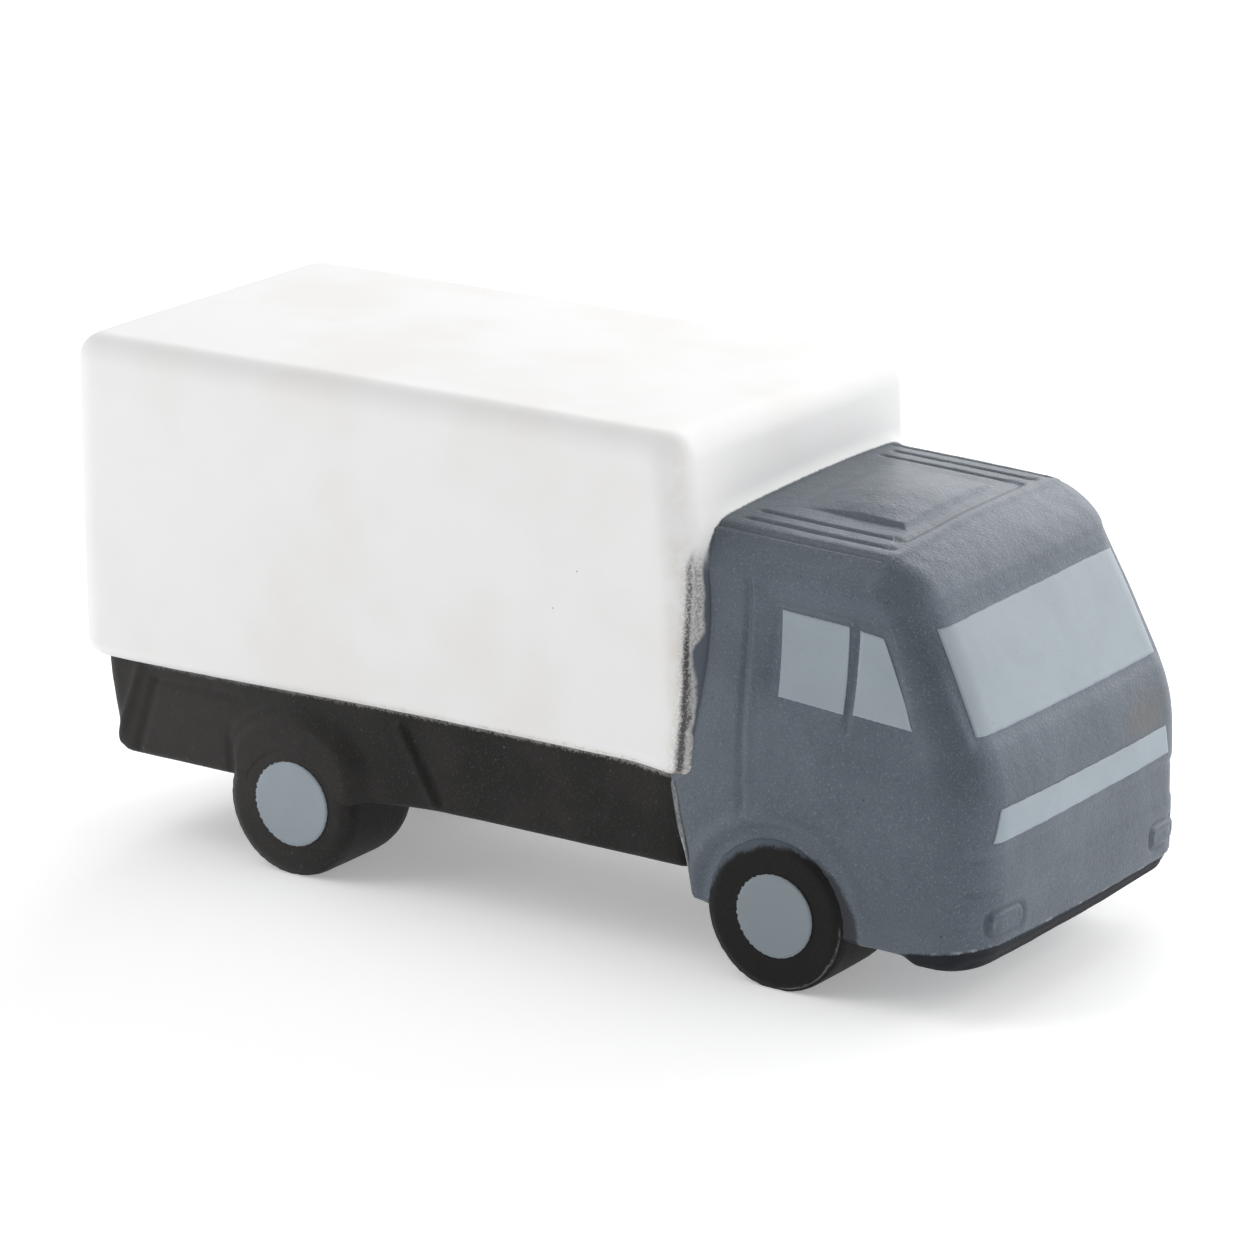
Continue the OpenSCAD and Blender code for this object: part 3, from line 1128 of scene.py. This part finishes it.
@dataclass
class CargoBox:
    """The white cargo box, slightly puffed, with soft edges."""

    low: Array = field(default_factory=lambda: PLAN.box[0])
    high: Array = field(default_factory=lambda: PLAN.box[1])
    edge: float = 2.7
    corner: float = 3.3
    lower_edge: float = 1.8
    puff: float = 0.35
    skew: float = 0.9
    toe: float = 1.0
    sag: float = 0.7
    droop: float = 0.6
    cuts: tuple[int, int, int] = (120, 110, 84)
    coarse: tuple[int, int, int] = (44, 28, 22)
    fillet_reach: float = 1.5
    fillet_rise: float = 0.6

    def form(self) -> Form:
        """The rounded box that the cargo box is shaped from."""
        return Form(
            low=tuple(self.low + [self.puff, self.puff, 0]),
            high=tuple(self.high - [0, self.puff, self.puff]),
            rear_corner=(self.corner, self.corner),
            front_corner=(self.corner, self.corner),
            upper=(self.edge,) * 3,
            lower=(self.lower_edge,) * 3,
        )

    def shape(self, points: Array) -> Array:
        """Puffs the faces out, draws back the right front upper corner and lets the lower edge sag.

        Args:
            points: Points on the rounded box, a row each.

        Returns:
            The points on the cargo box.
        """
        middle = (self.low + self.high) / 2
        half = (self.high - self.low) / 2
        share = (points - middle) / half
        calm = np.clip(1 - share**2, 0, 1)
        puffed = points.copy()
        puffed[:, 0] += self.puff * share[:, 0] * calm[:, 1] * calm[:, 2] * (share[:, 0] < 0)
        puffed[:, 1] += self.puff * share[:, 1] * calm[:, 0] * (0.3 + 0.7 * calm[:, 2])
        puffed[:, 2] += self.puff * np.maximum(share[:, 2], 0) * calm[:, 0] * calm[:, 1]
        front = ease(0.5, 1.0, share[:, 0])
        puffed[:, 0] -= self.skew * front * ease(0.2, -1.0, share[:, 1]) * ease(-0.2, 1.0, share[:, 2])
        puffed[:, 0] += self.toe * front * ease(0.9, -0.6, share[:, 2])
        sag = self.sag * ease(-5.0, -48.0, points[:, 0]) + self.droop * ease(13.0, 19.5, points[:, 0])
        puffed[:, 2] -= sag * ease(0.2, -1.0, share[:, 2])
        return puffed

    def relief(self, points: Array, out: Array) -> Array:
        """Unevenness of the foam and the fillet round the cab.

        Args:
            points: Points on the cargo box, a row each.
            out: The surface's outward directions there.

        Returns:
            The height at each point.
        """
        uneven = 0.07 * ripple(points, 22.0, 11) + 0.02 * ripple(points, 5.0, 12)
        front = ease(0.2, 0.7, out[:, 0])
        rise = self.fillet_rise * fillet(CabForm().outside(points[:, 1], points[:, 2]), self.fillet_reach)
        return uneven + front * rise

    def build(self, paint: Paint) -> bpy.types.Object:
        """Makes the cargo box's coat.

        Args:
            paint: The finishes.

        Returns:
            The coat.
        """
        outer = self.form().skin(self.cuts, self.shape, self.relief)
        inner = shrunk(self.form().skin(self.coarse, self.shape), FILM_DEPTH)
        piece = new_object("cargo_box_white_skin", film(outer, inner))
        dress(piece, paint.white, Slot.WHITE, "box_coat")
        return piece


# ---- Chassis ----


@dataclass
class Chassis:
    """The black skirt under the cargo box, with its moulded ribs and mudguards."""

    rear: float = field(default_factory=lambda: float(PLAN.chassis[0][0]) - 0.1)
    front: float = 20.6
    floor: float = 8.3
    top: float = 21.2
    half: float = 19.2
    boss: float = 1.22
    cuts: tuple[int, int, int] = (250, 60, 46)
    coarse: tuple[int, int, int] = (60, 24, 10)
    open_side = Vector((0, 0, 1))
    # Rear rib and its groove, groove below the cargo box, and the slanted rib and groove amidships
    skirt_lines = [
        ((-45.5, 18.6), (-48.7, 9.8), 0.36, 0.5),
        ((-43.8, 16.8), (-46.2, 9.4), -0.34, 0.45),
        ((-43.7, 17.0), (-33.0, 17.0), -0.2, 0.35),
        ((-13.2, 17.5), (-9.3, 10.6), 0.36, 0.5),
        ((-12.3, 17.5), (-8.3, 10.6), -0.22, 0.35),
    ]

    def form(self) -> Form:
        """The rounded box that the chassis is shaped from."""
        return Form(
            low=(self.rear, -self.half, self.floor),
            high=(self.front, self.half, self.top),
            rear_corner=(1.9, 1.7),
            front_corner=(1.4, 1.5),
            upper=(0.9, 0.9, 0.9),
            lower=(1.4, 1.0, 0.9),
        )

    def shape(self, points: Array) -> Array:
        """Slants the rear and curves the underside.

        Args:
            points: Points on the rounded box, a row each.

        Returns:
            The points on the chassis.
        """
        x, y, z = points.T
        low = ease(15.0, 9.5, z)
        x = x + 1.2 * ease(18.5, 8.8, z) * ease(-42.0, -50.0, x)
        z = z + low * (0.3 + 0.9 * ease(-22.0, -8.0, x))
        return np.column_stack([x, y, z])

    def relief(self, points: Array, out: Array) -> Array:
        """Height of the ribs, grooves and mudguards on the skirt.

        Args:
            points: Points on the chassis, a row each.
            out: The surface's outward directions there.

        Returns:
            The height at each point.
        """
        x, y, z = points.T
        side = ease(0.5, 0.8, np.abs(out[:, 1]))
        height = 0.05 * ripple(points, 9.0, 21) + 0.02 * ripple(points, 2.5, 22)
        for start, end, rise, width in self.skirt_lines:
            height += side * rise * bell(line_distance(x, z, start, end), width)
        radius = np.hypot(x - PLAN.rear_axle, z - PLAN.axle_height)
        beyond = radius - 1.6 * ease(8.5, 14.0, z)
        fade = 1.6 * np.maximum(ease(0.0, 6.0, x - PLAN.rear_axle), 0.8 * ease(9.5, 15.0, z))
        guard = self.boss * ease(0.0, 1.0, (7.9 + fade - beyond) / (1.2 + fade)) * ease(5.0, 5.6, radius)
        guard -= 0.2 * bell(beyond - 8.3, 0.4) * ease(0.0, -3.0, x - PLAN.rear_axle)
        return height + side * guard

    def build(self, paint: Paint) -> bpy.types.Object:
        """Makes the chassis's coat.

        Args:
            paint: The finishes.

        Returns:
            The coat.
        """
        outer = self.form().skin(self.cuts, self.shape, self.relief, self.open_side)
        inner = shrunk(self.form().skin(self.coarse, self.shape, None, self.open_side), FILM_DEPTH)
        piece = new_object("chassis_black_skin", film(outer, inner))
        dress(piece, paint.black, Slot.BLACK, "chassis_coat")
        return piece


# ---- Wheels ----


@dataclass
class Wheel:
    """A moulded wheel: a rounded disc that is one with the body, and its printed hub."""

    corner: str
    axle: float
    side: int
    hub: float
    hub_shift: tuple[float, float]
    edge: float
    radius: float = field(default_factory=lambda: PLAN.tyre_radius)
    face: float = field(default_factory=lambda: PLAN.tyre_face)
    width: float = 13.0
    inner_edge: float = 3.6
    dome: float = 0.12
    hub_squash: float = 0.985
    hub_proud: float = 0.12
    hub_depth: float = 0.2
    steps: int = 192

    def profile(self, inset: float) -> list[Vector]:
        """Half section of the wheel, from the middle of one face to the middle of the other.

        Args:
            inset: Depth below the outer surface.

        Returns:
            Points with the distance from the axle line in X and the place across the truck in Y.
        """
        edge, radius, back = self.edge - inset, self.radius - inset, self.inner_edge - inset
        outer, inner = self.face - inset, self.face - self.width + inset
        flat = np.linspace(0, radius - edge, 22)
        points = [Vector((r, outer - self.dome * (r / radius) ** 2, 0)) for r in flat]
        arc = np.linspace(0, math.pi / 2, 11)[1:]
        lower = self.dome * ((radius - edge) / radius) ** 2
        shoulder = outer - lower - edge
        bend = radius - edge
        points += [Vector((bend + edge * math.sin(a), shoulder + edge * math.cos(a), 0)) for a in arc]
        tread = np.linspace(shoulder, inner + back, 34)[1:]
        points += [Vector((radius, y, 0)) for y in tread]
        rim = radius - back
        points += [Vector((rim + back * math.cos(a), inner + back - back * math.sin(a), 0)) for a in arc]
        points += [Vector((r, inner, 0)) for r in np.linspace(rim, 0, 12)[1:]]
        return points

    def spun(self, section: Sequence[Vector]) -> bmesh.types.BMesh:
        """Turns a half section once round the axle line.

        Args:
            section: Points of the section, in order.

        Returns:
            The turned surface.
        """
        bm = bmesh.new()
        verts = [bm.verts.new(p) for p in section]
        edges = [bm.edges.new(pair) for pair in zip(verts, verts[1:])]
        turn = {"cent": (0, 0, 0), "axis": (0, 1, 0), "angle": 2 * math.pi, "steps": self.steps}
        bmesh.ops.spin(bm, geom=verts + edges, use_merge=True, use_duplicate=False, **turn)
        bmesh.ops.remove_doubles(bm, verts=bm.verts[:], dist=1e-5)
        return bm

    def revolved(self, inset: float) -> bpy.types.Mesh:
        """The wheel's closed surface, in millimetres, round its own axle line.

        Args:
            inset: Depth below the outer surface.

        Returns:
            The surface.
        """
        bm = self.spun(self.profile(inset))
        bmesh.ops.recalc_face_normals(bm, faces=bm.faces[:])
        mesh = bpy.data.meshes.new("wheel")
        bm.to_mesh(mesh)
        bm.free()
        return mesh

    def placed(self, inset: float) -> bpy.types.Mesh:
        """The wheel's surface in its place, with its flash line, its unevenness and its flat foot.

        Args:
            inset: Depth below the outer surface.

        Returns:
            The surface, in millimetres.
        """
        mesh = self.revolved(inset)
        points, out = coordinates(mesh), normals(mesh)
        rough = 0.6 + 0.4 * ripple(points, 1.0, 31 + self.side)
        flash = 0.22 * bell(points[:, 1] - (self.face - self.edge * 0.5), 0.14) * rough
        uneven = 0.05 * ripple(points, 6.0, 33 + self.side)
        points = points + out * (flash + uneven)[:, None]
        points[:, 1] *= self.side
        points += [self.axle, 0, PLAN.axle_height]
        points[:, 2] = np.maximum(points[:, 2], inset)
        move_to(mesh, points)
        if self.side < 0:
            mesh.flip_normals()
        return mesh

    def face_at(self, radius: float) -> float:
        """Place of the wheel's outer face at a distance from the axle line."""
        return self.face - self.dome * (radius / self.radius) ** 2

    def build(self, paint: Paint) -> bpy.types.Object:
        """Makes the tyre's coat and the hub's print.

        Args:
            paint: The finishes.

        Returns:
            The tyre's coat.
        """
        piece = new_object(f"{self.corner}_tyre_skin", film(self.placed(0), self.placed(FILM_DEPTH)))
        dress(piece, paint.black, Slot.BLACK, f"{self.corner}_tyre_coat")
        self.build_hub(paint)
        return piece

    def build_hub(self, paint: Paint) -> None:
        """Makes the hub's print, a thin disc with a slightly ragged edge.

        Args:
            paint: The finishes.
        """
        rings = 12
        bm = self.spun([Vector((self.hub * i / rings, 0, 0)) for i in range(rings + 1)])
        for vert in bm.verts:
            radius = math.hypot(vert.co.x, vert.co.z)
            turn = math.atan2(vert.co.z, vert.co.x)
            ragged = 0.03 * math.sin(31 * turn + 2) + 0.03 * math.sin(47 * turn)
            ragged += 0.02 * math.sin(83 * turn + 1)
            rear = max(0.0, -math.cos(turn)) * (radius / self.hub) ** 8
            uneven = 0.004 * math.sin(3 * turn) + ragged * (0.1 + 0.3 * rear)
            scale = 1 + uneven * (radius / self.hub) ** 6
            vert.co.x = vert.co.x * scale + self.hub_shift[0]
            vert.co.z = vert.co.z * scale * self.hub_squash + self.hub_shift[1]
            radius = math.hypot(vert.co.x, vert.co.z)
            vert.co.y = self.side * (self.face_at(radius) + self.hub_proud)
            vert.co += Vector((self.axle, 0, PLAN.axle_height))
        bmesh.ops.recalc_face_normals(bm, faces=bm.faces[:])
        if sum(f.normal.y for f in bm.faces) * self.side < 0:
            bmesh.ops.reverse_faces(bm, faces=bm.faces[:])
        bmesh.ops.solidify(bm, geom=bm.faces[:], thickness=self.hub_depth)
        piece = new_object(f"{self.corner}_hub_film", finished(bm))
        dress(piece, paint.print, Slot.PRINT, f"{self.corner}_hub_print")


# ---- Prints on the cab ----


@dataclass(frozen=True)
class Pane:
    """A printed film with four corners, laid on the cab from one direction."""

    name: str
    node: str
    corners: tuple[tuple[float, float], ...]
    direction: tuple[float, float, float]
    bow: float = 0.0
    cells: tuple[int, int] = (60, 40)
    proud: float = 0.07
    depth: float = 0.16
    reach: float = 80.0

    def outline_point(self, s: float, t: float) -> tuple[float, float]:
        """Place in the pane's plane, with its slightly wavy edge.

        Args:
            s: Share of the way across, from 0 to 1.
            t: Share of the way up, from 0 to 1.

        Returns:
            The two coordinates.
        """
        (ax, ay), (bx, by), (cx, cy), (dx, dy) = self.corners
        left, right = (ax + (dx - ax) * t, ay + (dy - ay) * t), (bx + (cx - bx) * t, by + (cy - by) * t)
        edge = 0.015 * math.sin(s * 57 + t * 5) * (2 * t - 1) + 0.012 * math.sin(s * 131 + 1)
        bowed = self.bow * (1 - (2 * s - 1) ** 4) * t
        return left[0] + (right[0] - left[0]) * s, left[1] + (right[1] - left[1]) * s + bowed + edge

    def build(self, cab: BVHTree, paint: Paint) -> None:
        """Lays the film on the cab.

        Args:
            cab: The cab's surface, in metres.
            paint: The finishes.
        """
        bm = bmesh.new()
        bmesh.ops.create_grid(bm, x_segments=self.cells[0], y_segments=self.cells[1], size=1)
        ahead = Vector(self.direction)
        for vert in bm.verts:
            a, b = self.outline_point((vert.co.x + 1) / 2, (vert.co.y + 1) / 2)
            start = Vector((0, a, b)) if abs(ahead.x) > 0.5 else Vector((a, 0, b))
            start -= ahead * self.reach
            hit, normal, _, _ = cab.ray_cast(start * MM, ahead)
            vert.co = hit / MM + normal * self.proud
        bm.normal_update()
        if sum(f.normal.dot(ahead) for f in bm.faces) > 0:
            bmesh.ops.reverse_faces(bm, faces=bm.faces[:])
        bmesh.ops.solidify(bm, geom=bm.faces[:], thickness=self.depth)
        piece = new_object(self.name, finished(bm))
        dress(piece, paint.print, Slot.PRINT, self.node)


def panes() -> list[Pane]:
    """Lists every pane of the cab. The side panes are the same on both sides.

    Returns:
        The panes.
    """
    backwards = (-1.0, 0.0, 0.0)
    screen = ((-16.4, 27.4), (16.0, 27.3), (15.9, 36.9), (-15.3, 36.6))
    band = ((-16.9, 17.75), (15.2, 17.8), (14.7, 20.65), (-16.0, 20.85))
    door = ((30.2, 28.4), (37.4, 27.95), (37.1, 36.0), (29.75, 36.4))
    quarter = ((38.4, 28.1), (44.9, 27.7), (40.75, 35.5), (38.2, 35.8))
    found = [
        Pane("windscreen_film", "windscreen_print", screen, backwards, bow=0.3, cells=(120, 40)),
        Pane("nose_band_film", "nose_band_print", band, backwards, cells=(120, 14)),
    ]
    for side, sign in (("left", -1.0), ("right", 1.0)):
        for name, corners in (("door_window", door), ("quarter_window", quarter)):
            found.append(Pane(f"{side}_{name}_film", f"{side}_{name}_print", corners, (0.0, sign, 0.0)))
    return found


# ---- Foam ----


class FoamCore:
    """The foam casting under the coats, one closed body."""

    voxel: float = 0.9

    def build(
        self, forms: Sequence[CabForm | CargoBox | Chassis], wheels: Sequence[Wheel], paint: Paint
    ) -> bpy.types.Object:
        """Makes the casting from the same forms as the coats, set in by the coats' depth.

        Args:
            forms: The cab, the cargo box and the chassis.
            wheels: The four wheels.
            paint: The finishes.

        Returns:
            The casting.
        """
        bm = bmesh.new()
        for form in forms:
            mesh = shrunk(form.form().skin(form.coarse, form.shape), FOAM_DEPTH)
            bm.from_mesh(mesh)
            bpy.data.meshes.remove(mesh)
        for wheel in wheels:
            mesh = wheel.placed(FOAM_DEPTH)
            bm.from_mesh(mesh)
            bpy.data.meshes.remove(mesh)
        piece = new_object("foam_core", finished(bm))
        remesh = piece.modifiers.new("one_body", "REMESH")
        remesh.mode = "VOXEL"
        remesh.voxel_size = self.voxel * MM
        remesh.use_smooth_shade = True
        evaluated = piece.evaluated_get(bpy.context.evaluated_depsgraph_get())
        mesh = bpy.data.meshes.new_from_object(evaluated)
        piece.modifiers.clear()
        piece.data = mesh
        dress(piece, paint.foam, Slot.FOAM, "foam_casting")
        return piece


# ---- Studio ----


@dataclass(frozen=True)
class Lamp:
    """Place, size and power of a light, with its angles in degrees and its lengths in metres."""

    name: str
    azimuth: float
    elevation: float
    distance: float
    size: float
    power: float


@dataclass(frozen=True)
class Studio:
    """White table, soft light and the camera."""

    azimuth: float = 34.28
    elevation: float = 17.12
    roll: float = -0.13
    lens: float = 157.3
    distance: float = 0.5375
    target: tuple[float, float, float] = (0.000285, 0.0, 0.02542)
    sky: float = 0.3
    floor_half: float = 6.0
    floor_tone: float = 0.95
    floor_glow: float = 0.3
    lamps: tuple[Lamp, ...] = (
        Lamp("overhead", -60, 55, 1.2, 0.9, 3.8),
        Lamp("left", -50, 18, 0.8, 0.6, 1.6),
        Lamp("front", 110, 28, 1.0, 0.7, 3.5),
        Lamp("behind", 158, 22, 1.0, 0.7, 4.3),
        Lamp("back", 192, 30, 1.0, 0.7, 5.0),
    )

    @staticmethod
    def direction(azimuth: float, elevation: float) -> Vector:
        """Direction from the truck towards an azimuth and elevation in degrees."""
        a, e = math.radians(azimuth), math.radians(elevation)
        return Vector((math.sin(a) * math.cos(e), -math.cos(a) * math.cos(e), math.sin(e)))

    def hang(self, plan: Lamp) -> None:
        """Adds a soft square light that faces the truck.

        Args:
            plan: The light's place, size and power.
        """
        light = bpy.data.lights.new(plan.name, "AREA")
        light.size = plan.size
        light.energy = plan.power
        lamp = bpy.data.objects.new(plan.name, light)
        away = self.direction(plan.azimuth, plan.elevation)
        lamp.location = Vector(self.target) + away * plan.distance
        lamp.rotation_euler = away.to_track_quat("Z", "Y").to_euler()
        bpy.context.scene.collection.objects.link(lamp)

    def lay_floor(self) -> None:
        """Makes the white paper floor, which glows a little so that shadows stay soft."""
        bm = bmesh.new()
        bmesh.ops.create_grid(bm, x_segments=1, y_segments=1, size=self.floor_half)
        mesh = bpy.data.meshes.new("floor")
        bm.to_mesh(mesh)
        bm.free()
        floor = new_object("floor", mesh)
        paper = Shader("white_paper")
        paper.surface.inputs["Base Color"].default_value = (*(self.floor_tone,) * 3, 1.0)
        paper.surface.inputs["Emission Color"].default_value = (1.0, 1.0, 1.0, 1.0)
        paper.surface.inputs["Emission Strength"].default_value = self.floor_glow
        paper.surface.inputs["Roughness"].default_value = 0.9
        paper.surface.inputs["Specular IOR Level"].default_value = 0.0
        mesh.materials.append(paper.material)

    def place_camera(self) -> None:
        """Makes the camera and makes it the scene's own."""
        camera_data = bpy.data.cameras.new("camera")
        camera_data.lens = self.lens
        camera_data.sensor_width = 36
        camera = bpy.data.objects.new("camera", camera_data)
        away = self.direction(self.azimuth, self.elevation)
        camera.location = Vector(self.target) + away * self.distance
        facing = away.to_track_quat("Z", "Y").to_matrix().to_4x4()
        camera.rotation_euler = (facing @ Matrix.Rotation(math.radians(self.roll), 4, "Z")).to_euler()
        camera_data.dof.use_dof = False
        bpy.context.scene.collection.objects.link(camera)
        bpy.context.scene.camera = camera

    def build(self) -> None:
        """Makes the floor, the surroundings, the lights and the camera."""
        self.lay_floor()
        world = bpy.data.worlds.new("studio")
        world.use_nodes = True
        sky = world.node_tree.nodes["Background"]
        sky.inputs["Color"].default_value = (1.0, 1.0, 1.0, 1.0)
        sky.inputs["Strength"].default_value = self.sky
        bpy.context.scene.world = world
        for plan in self.lamps:
            self.hang(plan)
        self.place_camera()
        bpy.context.scene.view_settings.view_transform = "Standard"


def main() -> None:
    logging.basicConfig(level=logging.INFO, format="%(message)s")
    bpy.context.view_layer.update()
    paint = Paint()
    cab, box, chassis = CabForm(), CargoBox(), Chassis()
    wheels = [
        Wheel(f"{end}_{side}", axle, sign, hub, shift, edge)
        for end, axle, hub, shift, edge in (
            ("front", PLAN.front_axle, 4.15, (0.2, 0.1), 1.2),
            ("rear", PLAN.rear_axle - 0.3, 4.4, (0.6, 0.3), 1.6),
        )
        for side, sign in (("left", 1), ("right", -1))
    ]
    skins = [cab.build(paint), box.build(paint), chassis.build(paint)]
    surface = BVHTree.FromObject(skins[0], bpy.context.evaluated_depsgraph_get())
    for pane in panes():
        pane.build(surface, paint)
    skins += [wheel.build(paint) for wheel in wheels]
    skins.append(FoamCore().build([cab, box, chassis], wheels, paint))
    Studio().build()


if __name__ == "__main__":
    main()
